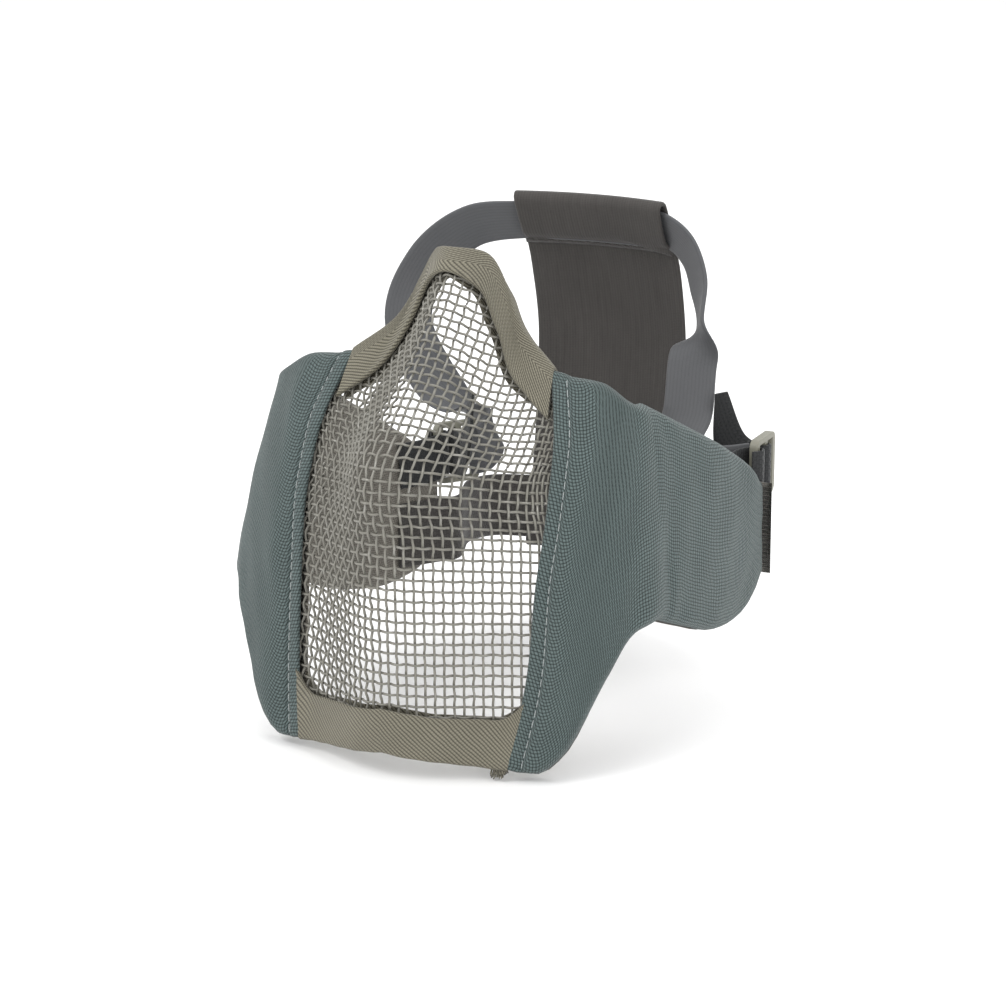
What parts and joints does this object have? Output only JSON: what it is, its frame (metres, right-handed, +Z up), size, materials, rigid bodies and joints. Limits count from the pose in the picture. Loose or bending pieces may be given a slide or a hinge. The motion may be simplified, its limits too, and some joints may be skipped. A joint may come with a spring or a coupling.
{
  "type": "half face mask",
  "caption": "Lower-half face mask: formed wire-mesh muzzle with bound edges, padded fabric cheek and ear flaps, and an elastic two-strap harness with a back panel.",
  "frame": {"origin": "inside the muzzle, on the mid-plane, about level with the wearer's upper lip", "axes": "the mask faces -Y, +Y towards the back of the wearer's head, +Z up, the wearer's left at +X"},
  "size_m": [0.1385, 0.1781, 0.1398],
  "materials": {
    "painted_steel": "olive-grey paint on woven steel wire",
    "ribbed_tape": "olive-grey elastic tape with diagonal ribs",
    "woven_cover": "blue-grey coarse plain-weave nylon",
    "foam": "soft closed-cell foam under fabric",
    "lining": "brown-grey knitted lining",
    "panel_elastic": "wide dark brown-grey elastic webbing",
    "strap_elastic": "grey woven elastic",
    "dark_webbing": "dark woven webbing",
    "moulded_plastic": "light olive-grey moulded plastic"
  },
  "bodies": {
    "mask_front": {"wire_mesh_shell": "painted_steel", "nose_binding": "ribbed_tape", "chin_binding": "ribbed_tape", "left_cheek_cover": "woven_cover", "left_cheek_foam": "foam", "left_cheek_lining": "lining", "right_cheek_cover": "woven_cover", "right_cheek_foam": "foam", "right_cheek_lining": "lining"},
    "left_flap": {"left_ear_cover": "woven_cover", "left_ear_foam": "foam", "left_ear_lining": "lining", "left_slider_tab": "dark_webbing", "left_neck_strap_end": "dark_webbing"},
    "right_flap": {"right_ear_cover": "woven_cover", "right_ear_foam": "foam", "right_ear_lining": "lining", "right_slider_tab": "dark_webbing", "right_neck_strap_end": "dark_webbing"},
    "left_buckle": {"left_slider": "moulded_plastic", "left_strap_tail": "dark_webbing", "left_crown_strap_end": "strap_elastic"},
    "right_buckle": {"right_slider": "moulded_plastic", "right_strap_tail": "dark_webbing", "right_crown_strap_end": "strap_elastic"},
    "harness": {"back_panel": "panel_elastic", "crown_hem": "panel_elastic", "neck_hem": "panel_elastic", "crown_strap": "strap_elastic", "neck_strap": "dark_webbing"}
  },
  "joints": [
    {"name": "left_flap_flex", "type": "hinge", "parent": "mask_front", "child": "left_flap", "pos_m": [0.05825, 0.00665, 0], "axis": [-0.1602, 0.1777, 0.971], "range_deg": [-6, 35], "deforming": ["left_neck_strap_end"]},
    {"name": "right_flap_flex", "type": "hinge", "parent": "mask_front", "child": "right_flap", "pos_m": [-0.05825, 0.00665, 0], "axis": [-0.1602, -0.1777, -0.971], "range_deg": [-35, 8], "deforming": ["right_neck_strap_end"]},
    {"name": "left_slider_tilt", "type": "hinge", "parent": "left_flap", "child": "left_buckle", "pos_m": [0.06675, 0.071, -0.002], "axis": [0, 0, 1], "range_deg": [-20, 25], "deforming": ["left_crown_strap_end"]},
    {"name": "right_slider_tilt", "type": "hinge", "parent": "right_flap", "child": "right_buckle", "pos_m": [-0.03506, 0.06696, -0.00649], "axis": [0.0666, -0.0993, -0.9928], "range_deg": [-20, 25], "deforming": ["right_crown_strap_end"]},
    {"name": "harness_swing", "type": "hinge", "parent": "mask_front", "child": "harness", "pos_m": [0, 0.067, -0.012], "axis": [1, 0, 0], "range_deg": [-12, 20]}
  ]
}
